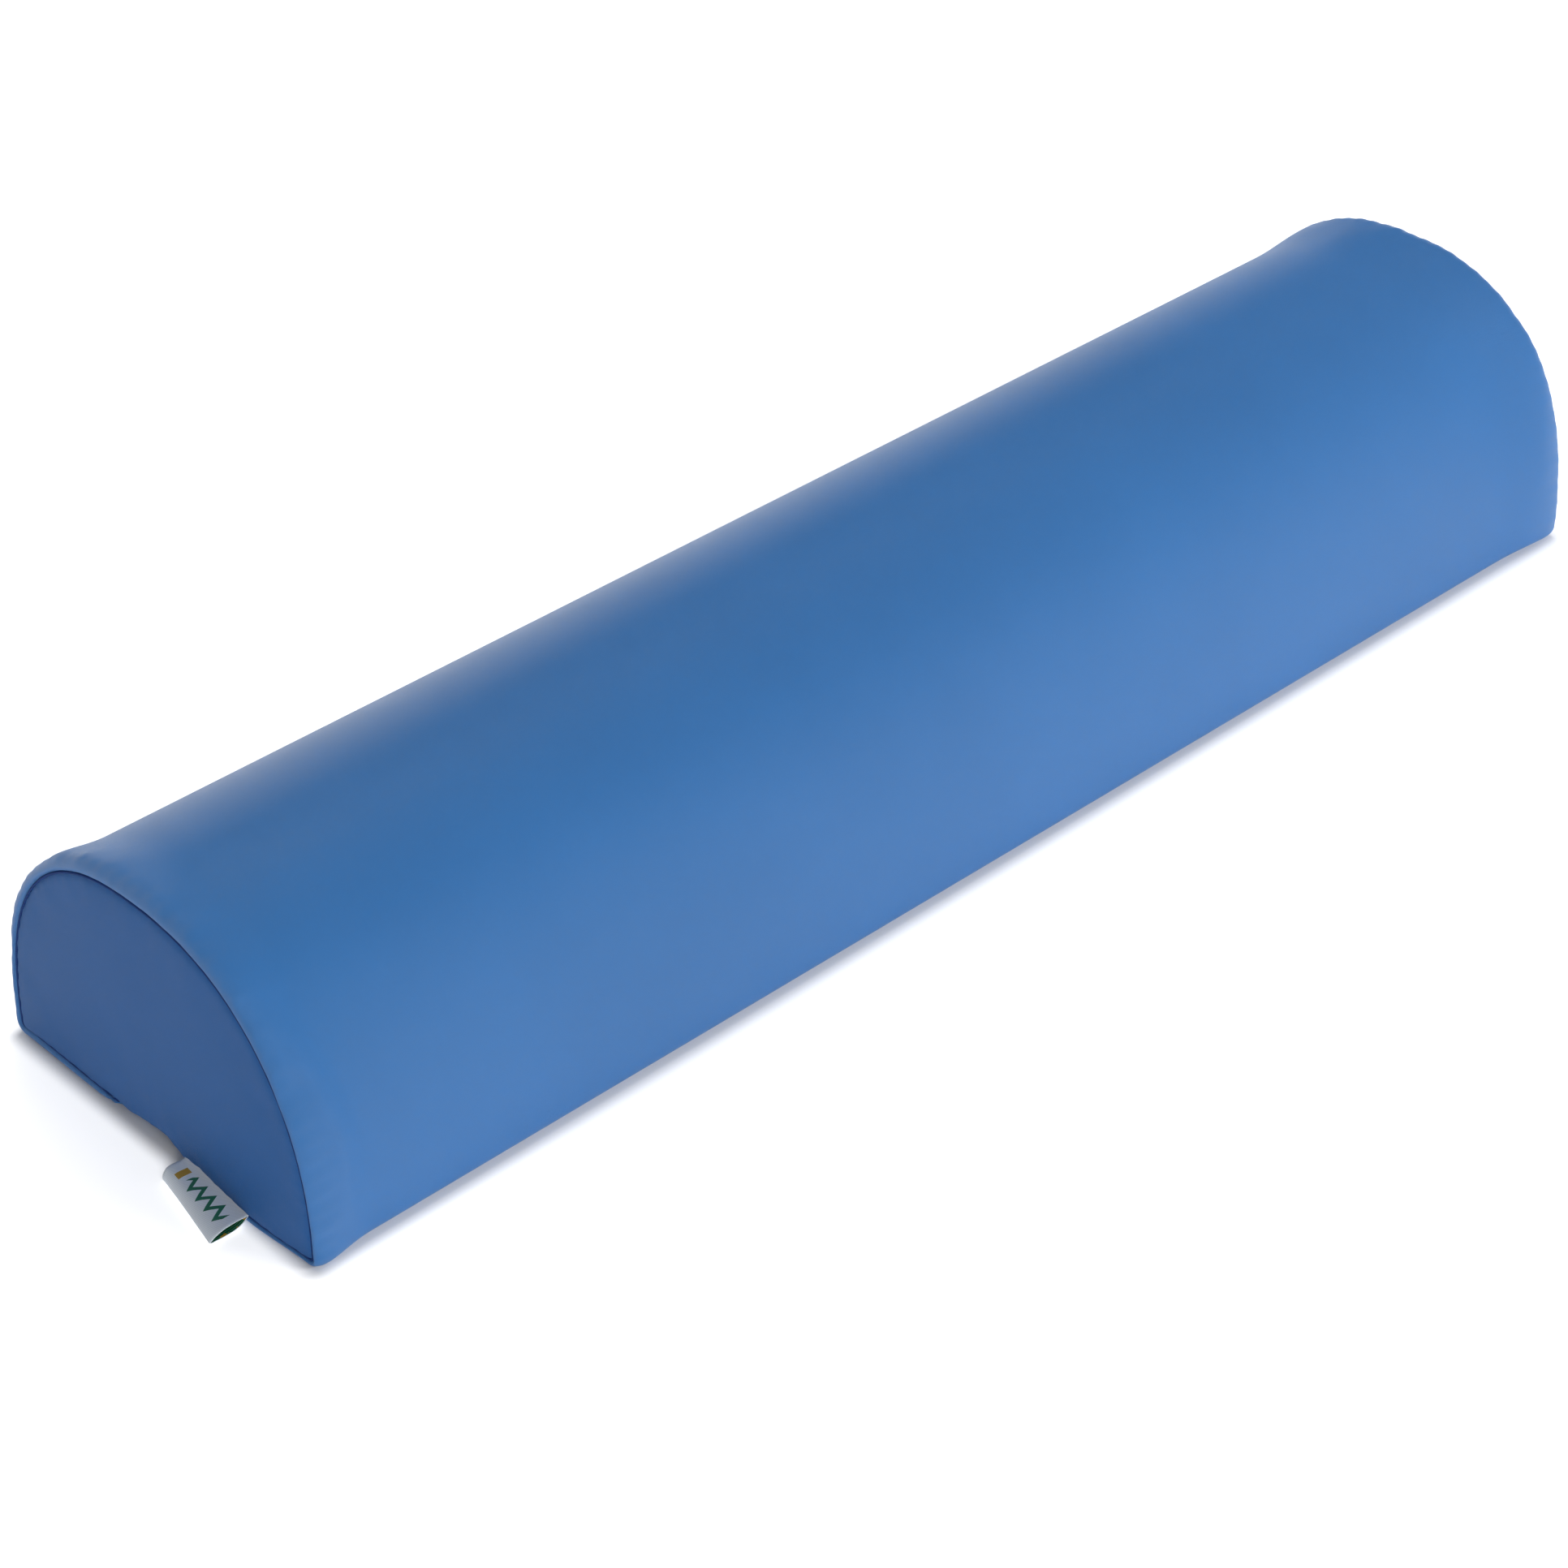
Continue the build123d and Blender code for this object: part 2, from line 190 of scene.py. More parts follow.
def tube(path, radius, sides=6):
    """Vertices and faces of a tube along a millimetre path."""
    path = np.asarray(path, float)
    ahead = np.gradient(path, axis=0)
    ahead /= np.linalg.norm(ahead, axis=1)[:, None]
    guide = np.array([0.0, 0.0, 1.0]) if abs(ahead[0][2]) < 0.9 else np.array([0.0, 1.0, 0.0])
    normals = []
    normal = guide - ahead[0] * guide.dot(ahead[0])
    for direction in ahead:
        normal = normal - direction * normal.dot(direction)
        normal /= np.linalg.norm(normal)
        normals.append(normal)
    normals = np.array(normals)
    binormals = np.cross(ahead, normals)
    angles = np.linspace(0, 2 * math.pi, sides, endpoint=False)
    radii = np.broadcast_to(np.asarray(radius, float), (len(path),))
    ring = np.cos(angles)[None, :, None] * normals[:, None, :]
    ring = ring + np.sin(angles)[None, :, None] * binormals[:, None, :]
    verts = (path[:, None, :] + ring * radii[:, None, None]).reshape(-1, 3)
    faces = grid_faces(len(path), sides, wrap_columns=True)
    faces.append(tuple(range(sides))[::-1])
    faces.append(tuple(range(len(verts) - sides, len(verts))))
    return verts, faces


def joined(parts):
    """One vertex and face list from several."""
    verts, faces, start = [], [], 0
    for part_verts, part_faces in parts:
        verts.append(part_verts)
        faces += [tuple(i + start for i in face) for face in part_faces]
        start += len(part_verts)
    return np.concatenate(verts), faces


# ---- outlines -----------------------------------------------------------------------------
ZONES = {"hem": 5, "fold": 6, "shelf": 4, "slope": 10, "under": 26, "corner": 9, "crown": 110}


def crown_half(half_width, base, top, corner_z, count):
    """Superellipse from height corner_z up to the crown's top, +Y side."""
    height = top - base
    start = math.asin(max((corner_z - base) / height, 0.0) ** (CROWN_POWER / 2))
    t = np.linspace(start, math.pi / 2, 600)
    y = half_width * np.cos(t) ** (2 / CROWN_POWER)
    z = base + height * np.sin(t) ** (2 / CROWN_POWER)
    y[-1] = 0.0
    return resample(np.stack([y, z], axis=1), count)


def quarter_turn(centre_y, centre_z, radius, count):
    """Arc from straight down to straight out (+Y)."""
    a = np.linspace(-math.pi / 2, 0, count)
    return np.stack([centre_y + radius * np.cos(a), centre_z + radius * np.sin(a)], axis=1)


def half_outline(half_width, top, corner):
    """+Y half of the body's cross-section, from the hem's raw edge inside to the crown."""
    n = ZONES
    hem_y = np.linspace(HEM_BACK, HEM_EDGE + 0.9, n["hem"])
    hem = np.stack([hem_y, np.full(n["hem"], HEM_HIGH)], axis=1)
    a = np.linspace(math.pi / 2, 3 * math.pi / 2, n["fold"] + 2)[1:-1]
    fold_r = (HEM_HIGH - HEM_LOW) / 2
    fold_y = HEM_EDGE + fold_r + fold_r * np.cos(a)
    fold_z = HEM_LOW + fold_r + fold_r * np.sin(a)
    fold = np.stack([fold_y, fold_z], axis=1)
    shelf_y = np.linspace(HEM_EDGE + 1.4, CHANNEL_SHOULDER, n["shelf"])
    shelf = np.stack([shelf_y, np.full(n["shelf"], HEM_LOW)], axis=1)
    t = np.linspace(0, 1, n["slope"] + 1)[1:]
    slope_y = CHANNEL_SHOULDER + (CHANNEL_MOUTH - CHANNEL_SHOULDER) * t
    slope = np.stack([slope_y, HEM_LOW * (1 - smooth(t))], axis=1)
    narrowing = (max(corner - CROWN_BASE, 0) / (top - CROWN_BASE)) ** CROWN_POWER
    widest = half_width * (1 - narrowing) ** (1 / CROWN_POWER)
    under_y = np.linspace(CHANNEL_MOUTH, widest - corner, n["under"] + 1)[1:]
    under = np.stack([under_y, np.zeros(n["under"])], axis=1)
    turn = quarter_turn(widest - corner, corner, corner, n["corner"] + 1)[1:]
    crown = crown_half(half_width, CROWN_BASE, top, max(corner, CROWN_BASE), n["crown"] + 1)[1:]
    return np.concatenate([hem, fold, shelf, slope, under, turn, crown])


def seam_half(side):
    """The end seam's outline on one side (1 left, -1 right), point for point with half_outline."""
    def rise(y):
        return keyed(SEAM_RISE, side * y)

    n = ZONES
    corner_z = float(rise(SEAM_HALF_WIDTH)) + SEAM_CORNER
    crown = crown_half(SEAM_HALF_WIDTH, corner_z, SEAM_TOP, corner_z, n["crown"] + 1)[1:]
    flat_end = SEAM_HALF_WIDTH - SEAM_CORNER
    body = half_outline(HALF_WIDTH, RIM_TOP, RIM_CORNER[0])
    low_count = n["hem"] + n["fold"] + n["shelf"] + n["slope"]
    low_y = np.minimum(body[:low_count, 0], CHANNEL_MOUTH)
    under_y = np.linspace(CHANNEL_MOUTH, flat_end, n["under"] + 1)[1:]
    low_y = np.concatenate([low_y, under_y])
    low = np.stack([low_y, rise(low_y)], axis=1)
    turn = quarter_turn(flat_end, float(rise(flat_end)) + SEAM_CORNER, SEAM_CORNER, n["corner"] + 1)[1:]
    return np.concatenate([low, turn, crown])


def full_outline(left, right):
    """Left half from hem to crown, then right half from crown to hem."""
    mirrored = right[:-1][::-1] * np.array([-1.0, 1.0])
    return np.concatenate([left, mirrored])


SEAM = full_outline(seam_half(1), seam_half(-1))
COLUMNS = len(SEAM)


def outward(outline):
    """Unit normals of an outline, pointing out of the section."""
    along = np.gradient(outline, axis=0)
    normal = np.stack([-along[:, 1], along[:, 0]], axis=1)
    normal /= np.linalg.norm(normal, axis=1)[:, None] + 1e-9
    return -normal


# ---- wrap panel ---------------------------------------------------------------------------
def wrap_rows(flare_length):
    """(u, k, free) of each row near one rim: u from the rim's plane, k from rim outline to seam.

    free is the row's u where the wrap is not sewn to the end panel, over the end of the zip.
    """
    rows = [(u, 1.0) for u in (TURNED_IN, 6.0, 4.6, 3.8)]
    for a in np.linspace(0, math.pi / 2, 11):
        rows.append((SEAM_DEPTH * (1 - math.sin(a)), ROLL_APEX + (1 - ROLL_APEX) * math.cos(a)))
    hidden = len(rows)
    for a in np.linspace(0, math.pi / 2, 12)[1:]:
        rows.append((ROLL_RADIUS * (1 - math.cos(a)), ROLL_APEX * (1 - math.sin(a))))
    far = flare_length + RUN_OUT
    rows += [(u, 0.0) for u in ROLL_RADIUS + np.linspace(0, 1, 34)[1:] ** 1.25 * (far - ROLL_RADIUS)]
    spread = []
    for index, (u, k) in enumerate(rows):
        free = ZIP_END_BACK + 0.03 * index
        if index >= hidden:
            start = ZIP_END_BACK + 0.03 * hidden
            free = start + u * (1 - start / far)
        spread.append((u, k, free))
    return spread


def over_zip(y):
    """1 where the wrap's end lies free behind the end panel, 0 where it is sewn to it."""
    low, high = ZIP_END
    low_fade, high_fade = ZIP_END_FADE
    return smooth((y - low) / low_fade + 1) * smooth((high - y) / high_fade + 1)


def hanging_share(section):
    """over_zip for each (y, z) of a section, and 0 wherever it is above the free part."""
    return over_zip(section[:, 0]) * (section[:, 1] < ZIP_END_HEIGHT)


def front_push(y, z):
    """How far the front end's lower right stands out, where the label pulls the seam."""
    return 2.4 * np.exp(-((y + 46) / 22) ** 2) * np.exp(-(np.maximum(z, 0) / 17) ** 2)


def wrap_section(u, k, flare_length, end):
    """One row of the wrap panel as (y, z) with its inward place u, for end -1 (front) or 1."""
    flare = float(smooth(1 - (u - 2) / flare_length)) ** FLARE_EASE
    half_width = HALF_WIDTH - BODY_SLIM * (1 - flare)
    top = RIM_TOP - BODY_SLIM * (1 - flare)
    sharp = float(smooth(1 - (u - 2) / 13))
    corner = BODY_CORNER + (RIM_CORNER[end] - BODY_CORNER) * sharp
    half = half_outline(half_width, top, corner)
    outline = full_outline(half, half)
    run = run_length(SEAM)
    normal = outward(outline)
    near = math.exp(-(max(u - 1, 0) / 7.0) ** 2)
    ripple = RIPPLE[end] * waves(run, (13, 17, 23, 31, 47), 11 + end) * near
    dents = 0.22 * waves(run, (29, 43, 61), 23 + end) * math.exp(-((u - 12) / 11) ** 2)
    pucker = 0.16 * np.cos(2 * math.pi * run / STITCH_PITCH) * math.exp(-((u - 1.2) / 2.2) ** 2)
    arch = np.zeros(COLUMNS)
    free = ZONES["hem"] + ZONES["fold"] + ZONES["shelf"] + ZONES["slope"]
    arch[free:-free] = 1.0
    lift = (ripple + dents + pucker) * arch
    floor_side = smooth((8 - outline[:, 1]) / 8) * (np.abs(outline[:, 0]) < 74)
    lift = lift * (1 - floor_side)
    if end > 0:
        flank = np.exp(-((outline[:, 1] - 66) / 34) ** 2) * smooth(-outline[:, 0] / 20)
        lift = lift + REAR_FULLNESS * flank * math.exp(-(u / 18) ** 2)
    if end < 0:
        flank = np.exp(-((outline[:, 1] - 62) / 20) ** 2) * (outline[:, 0] > 0)
        lift = lift + FRONT_FULLNESS * flank * math.exp(-(u / 14) ** 2)
        crest = np.exp(-((outline[:, 1] - 46) / 26) ** 2) * smooth(-outline[:, 0] / 50)
        lift = lift + ROLL_CREST * crest * math.exp(-((u - 10) / 5.5) ** 2)
    outline = outline + normal * lift[:, None]
    if k > 0:
        outline = outline + (SEAM - outline) * k
    return outline


def arched(outline, u):
    """The section with its underside drawn up towards the end panel's arched lower edge."""
    fade = 1 - float(smooth((u - 2) / ZIP_END_ARCH))
    height = np.minimum(keyed(ARCH_RISE, outline[:, 0]), HEM_LOW) * fade
    return np.column_stack([outline[:, 0], np.maximum(outline[:, 1], height)])


def rounded_in(outline, u, flare_length):
    """u with the roll drawn out lengthwise over the right flank, where the rim is fullest."""
    far = flare_length + RUN_OUT
    flank = np.exp(-((outline[:, 1] - 34) / 30) ** 2) * smooth(-outline[:, 0] / 60)
    crown = smooth((outline[:, 1] - 70) / 25)
    extra = (FLANK_ROLL * flank + CROWN_ROLL * crown) * ROLL_RADIUS
    if u < ROLL_RADIUS:
        return u + extra * u / ROLL_RADIUS
    return u + extra * (far - u) / (far - ROLL_RADIUS)


def wrap_end(flare_length, end):
    """Rows of (x, y, z) from one end seam to where the flare has died out."""
    rows = []
    for u, k, free in wrap_rows(flare_length):
        sewn = arched(wrap_section(u, k, flare_length, end), u)
        loose = arched(wrap_section(max(free, 2.0), 0.0, flare_length, end), free)
        share = hanging_share(loose)
        push = front_push(sewn[:, 0], sewn[:, 1]) * math.exp(-(max(u - 1.5, 0) / 6) ** 2)
        push = push * (end < 0) * (1 - share)
        rolled = rounded_in(sewn, u, flare_length) if k < ROLL_APEX else u
        inward = rolled * (1 - share) + free * share - push
        section = sewn * (1 - share)[:, None] + loose * share[:, None]
        rows.append(np.column_stack([end * (RIM_X - inward), section]))
    return rows


def wrap_panel():
    """The whole wrap panel as a swept grid, its long edges hemmed and its ends rolled in."""
    front = wrap_end(FLARE_FRONT, -1)
    rear = wrap_end(FLARE_REAR, 1)
    first = -RIM_X + FLARE_FRONT + 21
    last = RIM_X - FLARE_REAR - 16
    middle = []
    for x in np.arange(first, last, 9.0):
        outline = wrap_section(min(x + RIM_X, RIM_X - x), 0.0, FLARE_FRONT, 0)
        middle.append(np.column_stack([np.full(COLUMNS, x), outline]))
    rows = front + middle + rear[::-1]
    verts = np.concatenate(rows)
    verts[:, 2] = np.maximum(verts[:, 2], 0.0)
    obj = mesh_object("cover_wrap", verts, grid_faces(len(rows), COLUMNS))
    thicken(obj)
    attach(obj, "cover")
    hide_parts("wrap_panel")
    return obj


# ---- end panels ---------------------------------------------------------------------------
PANEL_CENTRE = np.array([0.0, 40.0])      # (y, z) that panel and foam shrink towards
PANEL_PLATEAU = 0.9      # the panel's flat lies this far inside the rim's plane
PANEL_EDGE = 0.75        # it drops into the crease within about this distance
PANEL_SHOULDER = 0.45    # and slopes away this far before it, over the shoulder's length
SHOULDER_LENGTH = 5.0
FREE_EDGE_DEPTH = 1.2    # depth of the free lower edge over the end of the zip
PILLOW_RISE = 1.1        # how far the middle of the panel bulges out
PANEL_HUB = 0.97         # the rings close in on the centre up to this share of the way
INWARD_STEPS = [0, 0.15, 0.35, 0.6, 0.9, 1.3, 1.8, 2.5, 3.4, 4.6, 6.2, 8.2, 10.6, 13.5, 17, 21, 26]


def panel_loop():
    """The end panel's closed outline: the seam from hem to hem, closed over the zip."""
    free = ZONES["hem"] + ZONES["fold"]
    loop = SEAM[free:-free]
    gap_y = np.linspace(loop[-1][0], loop[0][0], 9)[1:-1]
    gap = np.stack([gap_y, keyed(SEAM_RISE, gap_y)], axis=1)
    return np.concatenate([loop, gap])


SHEET_STEP = 5.0         # mesh size of the simulated panel cloth
SHEET_FRAMES = 24


def pillow_field():
    """Cloth blown up against its seam: a grid of bulges 0..1 with its y and z coordinates."""
    ys = np.arange(-80.0, 80.1, SHEET_STEP)
    zs = np.arange(0.0, 100.1, SHEET_STEP)
    grid = np.array([(0.0, y, z) for z in zs for y in ys])
    flank = SEAM[COLUMNS // 2 - ZONES["crown"]:COLUMNS // 2]
    half = np.interp(grid[:, 2], flank[:, 1], flank[:, 0], left=SEAM_HALF_WIDTH, right=0.0)
    room = np.minimum(half - np.abs(grid[:, 1]), grid[:, 2] - 6.0)
    sheet = mesh_object("panel_cloth", grid, grid_faces(len(zs), len(ys)))
    pins = sheet.vertex_groups.new(name="seam")
    pins.add([int(i) for i in np.flatnonzero(room <= 0.5)], 1.0, "REPLACE")
    cloth = sheet.modifiers.new("inflate", "CLOTH")
    cloth.settings.quality = 6
    cloth.settings.mass = 0.25
    cloth.settings.tension_stiffness = 30
    cloth.settings.compression_stiffness = 30
    cloth.settings.shear_stiffness = 12
    cloth.settings.bending_stiffness = 4
    cloth.settings.vertex_group_mass = "seam"
    cloth.settings.shrink_min = -0.012
    cloth.settings.use_pressure = True
    cloth.settings.uniform_pressure_force = 6.0
    cloth.settings.effector_weights.gravity = 0.0
    cloth.point_cache.frame_start = 1
    cloth.point_cache.frame_end = SHEET_FRAMES
    scene = bpy.context.scene
    for number in range(1, SHEET_FRAMES + 1):
        scene.frame_set(number)
    apply_modifiers(sheet)
    bulge = np.array([abs(vertex.co.x) for vertex in sheet.data.vertices])
    scene.frame_set(1)
    bpy.data.objects.remove(sheet)
    bulge = bulge / max(bulge.max(), 1e-9)
    return ys, zs, bulge.reshape(len(zs), len(ys))


def field_at(field, y, z):
    """Bilinear reading of a grid field."""
    ys, zs, values = field
    fy = np.clip((y - ys[0]) / SHEET_STEP, 0, len(ys) - 1.001)
    fz = np.clip((z - zs[0]) / SHEET_STEP, 0, len(zs) - 1.001)
    iy, iz = fy.astype(int), fz.astype(int)
    ty, tz = fy - iy, fz - iz
    low = values[iz, iy] * (1 - ty) + values[iz, iy + 1] * ty
    high = values[iz + 1, iy] * (1 - ty) + values[iz + 1, iy + 1] * ty
    return low * (1 - tz) + high * tz


def end_panel(end, field):
    """D-shaped end piece for end -1 (front) or 1 (rear): pillowed, tucked into the seam."""
    loop = panel_loop()
    reach = np.linalg.norm(loop - PANEL_CENTRE, axis=1)
    run = run_length(loop)
    hanging = hanging_share(loop)
    bottom = SEAM_DEPTH * (1 - hanging) + FREE_EDGE_DEPTH * hanging
    rows = [np.column_stack([np.full(len(loop), TURNED_IN) * (1 - hanging) + 2.6 * hanging, loop])]
    rows.append(np.column_stack([bottom + 1.0, loop]))
    steps = [(step, 0.0) for step in INWARD_STEPS]
    steps += [(INWARD_STEPS[-1], t) for t in np.linspace(0, PANEL_HUB, 14)[1:]]
    for step, t in steps:
        share = step / reach
        share = share + (PANEL_HUB - share) * t
        ring = loop + (PANEL_CENTRE - loop) * share[:, None]
        inward = share * reach
        depth = PANEL_PLATEAU + (bottom - PANEL_PLATEAU) * np.exp(-inward / PANEL_EDGE)
        depth = depth + PANEL_SHOULDER * (1 - hanging) * np.exp(-(inward / SHOULDER_LENGTH) ** 1.4)
        depth = depth - PILLOW_RISE * field_at(field, ring[:, 0], ring[:, 1])
        pucker = 0.10 * np.cos(2 * math.pi * run / STITCH_PITCH) * np.exp(-((inward - 1.5) / 2.0) ** 2)
        slack = 0.16 * waves(run, (19, 27, 41), 31 + end) * np.exp(-((inward - 6) / 6) ** 2)
        rows.append(np.column_stack([depth + pucker + slack, ring]))
    verts = np.concatenate(rows + [[[PANEL_PLATEAU - PILLOW_RISE, *PANEL_CENTRE]]])
    if end < 0:
        verts[:, 0] -= front_push(verts[:, 1], verts[:, 2]) * (verts[:, 0] < SEAM_DEPTH + 0.5)
    verts[:, 0] = end * (RIM_X - verts[:, 0])
    columns = len(loop)
    faces = grid_faces(len(rows), columns, wrap_columns=True, flip=end > 0)
    last = (len(rows) - 1) * columns
    hub = len(verts) - 1
    for c in range(columns):
        triangle = (last + c, last + (c + 1) % columns, hub)
        faces.append(triangle[::-1] if end > 0 else triangle)
    where, node = ("front", "front_end_panel") if end < 0 else ("rear", "rear_end_panel")
    obj = mesh_object(f"cover_end_{where}", verts, faces)
    thicken(obj)
    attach(obj, "cover")
    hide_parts(node)
    return obj


# ---- seam thread and painted crease shadow ------------------------------------------------
SHADE_LINE_UP = 2.05           # the dark line, a painted crease shadow, lies this far up from the crease's bottom
SHADE_LINE_RADIUS = 0.5
STITCH_HALF = 0.95       # half the length of a stitch across the line
STITCH_UP = 0.9          # how far up its middle lies
STITCH_SINK = 0.84       # and how much deeper its ends go


def seam_thread(end):
    """A dark line laid in the crease, a painted shadow where the crease's shade falls, with a short stitch
    of thread across it every pitch.
    """
    free = ZONES["hem"] + ZONES["fold"] + ZONES["shelf"]
    loop = SEAM[free:-free]
    run = run_length(loop)
    normal = outward(loop)
    sewn = hanging_share(loop) < 0.5
    push = front_push(loop[:, 0], loop[:, 1]) * (end < 0)
    depth = SEAM_DEPTH - SHADE_LINE_UP
    line = np.column_stack([end * (RIM_X - depth + push), loop])
    first, last = np.flatnonzero(sewn)[[0, -1]]
    # the line itself is a dark cord standing in for the crease's shadow: painted shade
    parts = [tube(line[first:last + 1], SHADE_LINE_RADIUS)]
    count = int(run[-1] / STITCH_PITCH)
    for index in range(count):
        s = (index + 0.5) * STITCH_PITCH
        at = np.array([np.interp(s, run, loop[:, i]) for i in (0, 1)])
        n = np.array([np.interp(s, run, normal[:, i]) for i in (0, 1)])
        offsets = np.linspace(STITCH_HALF, -STITCH_HALF, 7)
        depth = SEAM_DEPTH - STITCH_UP + STITCH_SINK * (offsets / STITCH_HALF) ** 2
        push = front_push(at[0], at[1]) if end < 0 else 0.0
        path = [(end * (RIM_X - d + push), *(at + n * o)) for o, d in zip(offsets, depth)]
        parts.append(tube(path, 0.26))
    where, node = ("front", "front_seam_thread") if end < 0 else ("rear", "rear_seam_thread")
    obj = mesh_object(f"seam_thread_{where}", *joined(parts))
    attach(obj, "cover")
    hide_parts(node)
    return obj


# ---- foam ---------------------------------------------------------------------------------
FOAM_INSET = 1.9         # gap between the bar and the cover's outline
FOAM_GROOVE = 19.0       # half width of the relief over the hems
FOAM_GROOVE_TOP = 8.4
FOAM_SLIDER_HALF = 6.2   # half width of the deeper run for the slider
FOAM_SLIDER_TOP = 10.6
FOAM_TAPER = 21.0        # the bar has its full section from this far inside the rims


def foam_core():
    """The foam bar that fills the cover, relieved for the hems and the slider."""
    base = FOAM_INSET
    low = [(0, FOAM_SLIDER_TOP), (FOAM_SLIDER_HALF, FOAM_SLIDER_TOP), (FOAM_SLIDER_HALF, FOAM_GROOVE_TOP),
           (FOAM_GROOVE, FOAM_GROOVE_TOP), (FOAM_GROOVE, base)]
    half_width = HALF_WIDTH - BODY_SLIM - FOAM_INSET
    top = RIM_TOP - BODY_SLIM - FOAM_INSET
    corner = BODY_CORNER - FOAM_INSET
    turn = quarter_turn(half_width - corner, base + corner, corner, 6)
    crown = crown_half(half_width, CROWN_BASE, top, base + corner, 60)[1:]
    half = np.concatenate([low, turn, crown])
    loop = np.concatenate([half, half[1:-1][::-1] * np.array([-1.0, 1.0])])
    rows = []
    end_x, step_x, full_x = RIM_X - 5.2, RIM_X - TURNED_IN - 3.0, RIM_X - FOAM_TAPER
    sections = [(end_x, 0.85), (step_x, 0.87), (full_x, 1.0)]
    sections = [(-x, scale) for x, scale in sections] + sections[::-1]
    for x, scale in sections:
        section = PANEL_CENTRE + (loop - PANEL_CENTRE) * scale
        rows.append(np.column_stack([np.full(len(loop), x), section]))
    count = len(loop)
    verts = np.concatenate(rows)
    faces = grid_faces(len(rows), count, wrap_columns=True)
    faces.append(tuple(range(count)))
    faces.append(tuple(range(len(verts) - count, len(verts)))[::-1])
    obj = mesh_object("foam_bar", verts, faces)
    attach(obj, "cover")
    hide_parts("foam_core")
    return obj


# ---- woven label --------------------------------------------------------------------------
LABEL_LOOP = 33.0        # length of the label strip from seam to seam
LABEL_PLY = 0.35         # thickness of one ply
LABEL_ACROSS = 40        # steps across the label
LABEL_ALONG = 26         # points on each ply
# (x out from the rim's plane, z) of the upper and lower ply at the label's left and right edges
LEFT_UPPER = [(-2.2, 5.9), (-0.4, 5.0), (1.4, 4.5), (3.4, 4.6),
              (5.8, 4.9), (7.9, 4.4), (9.2, 2.8), (9.5, 1.5)]
LEFT_LOWER = [(9.5, 1.5), (9.2, 0.7), (7.6, 0.4), (5.4, 1.4),
              (3.0, 2.7), (0.9, 3.6), (-0.6, 4.5), (-2.2, 5.6)]
RIGHT_UPPER = [(-0.2, 4.6), (1.0, 4.0), (2.3, 3.6), (5.2, 3.9),
               (8.5, 4.0), (11.6, 3.7), (14.8, 2.8), (16.9, 1.5)]
RIGHT_LOWER = [(16.9, 1.5), (16.2, 0.9), (14.0, 0.7), (10.8, 0.5),
               (7.2, 0.6), (4.3, 1.4), (1.8, 3.0), (-0.2, 4.3)]


def rounded(points, count):
    """Smooth open curve through given points (Catmull-Rom), evenly sampled."""
    p = np.asarray(points, float)
    p = np.concatenate([[2 * p[0] - p[1]], p, [2 * p[-1] - p[-2]]])
    t = np.linspace(0, 1, 9)[:, None]
    spans = []
    for a, b, c, d in zip(p, p[1:], p[2:], p[3:]):
        spans.append(0.5 * (2 * b + (c - a) * t + (2 * a - 5 * b + 4 * c - d) * t ** 2
                            + (3 * b - a - 3 * c + d) * t ** 3))
    return resample(np.concatenate(spans), count)


def woven_label(face, reverse):
    """Folded satin loop: two plies that meet at the outer fold, skewed as it droops."""
    left = np.concatenate([rounded(LEFT_UPPER, LABEL_ALONG), rounded(LEFT_LOWER, LABEL_ALONG)[1:]])
    right = np.concatenate([rounded(RIGHT_UPPER, LABEL_ALONG), rounded(RIGHT_LOWER, LABEL_ALONG)[1:]])
    y_left, y_right = LABEL_HIGH.y, LABEL_LOW.y
    verts, uv = [], []
    rows = len(left)
    for i in range(LABEL_ACROSS + 1):
        a = i / LABEL_ACROSS
        line = left + (right - left) * a
        sway = 0.18 * math.sin(a * math.pi * 1.3) * np.sin(np.linspace(0, math.pi, rows))
        y = y_left + (y_right - y_left) * a
        for j in range(rows):
            verts.append((-RIM_X - line[j][0], y, max(line[j][1] + sway[j], LABEL_PLY + 0.05)))
            uv.append((a, j / (rows - 1)))
    obj = mesh_object("label_loop", verts, grid_faces(LABEL_ACROSS + 1, rows), uv)
    obj.data.materials.append(face)
    obj.data.materials.append(reverse)
    solid = obj.modifiers.new("ply", "SOLIDIFY")
    solid.thickness = LABEL_PLY * MM
    solid.offset = -1
    solid.material_offset = 1
    apply_modifiers(obj)
    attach(obj, "cover")
    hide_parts("woven_label")
    return obj


# ---- zip ----------------------------------------------------------------------------------
COIL_PITCH = 1.6
COIL_WIRE = 0.36
ZIP_SHORT = 3.2          # tapes and coils stop this far inside the rims


def zip_tape(side, where):
    """One woven tape, slightly ribbed along its length."""
    y = np.linspace(TAPE_LOW.y - 0.5, TAPE_HIGH.y, 28)
    thick = TAPE_HIGH.z - TAPE_LOW.z
    rib = 0.05 * np.cos(2 * math.pi * y / 2.2)
    upper = np.stack([y, TAPE_HIGH.z - 0.1 + rib], axis=1)
    lower = np.stack([y[::-1], TAPE_HIGH.z - thick + 0.08 - rib[::-1]], axis=1)
    loop = np.concatenate([upper, lower]) * np.array([side, 1.0])
    xs = np.linspace(-RIM_X + ZIP_SHORT, RIM_X - ZIP_SHORT, 100)
    verts = np.concatenate([np.column_stack([np.full(len(loop), x), loop]) for x in xs])
    faces = grid_faces(len(xs), len(loop), wrap_columns=True, flip=side > 0)
    ends = (tuple(range(len(loop))), tuple(range(len(verts) - len(loop), len(verts)))[::-1])
    faces += [end[::-1] if side > 0 else end for end in ends]
    obj = mesh_object(f"tape_{where}", verts, faces)
    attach(obj, "cover")
    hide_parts(f"zip_tape_{where}")
    return obj


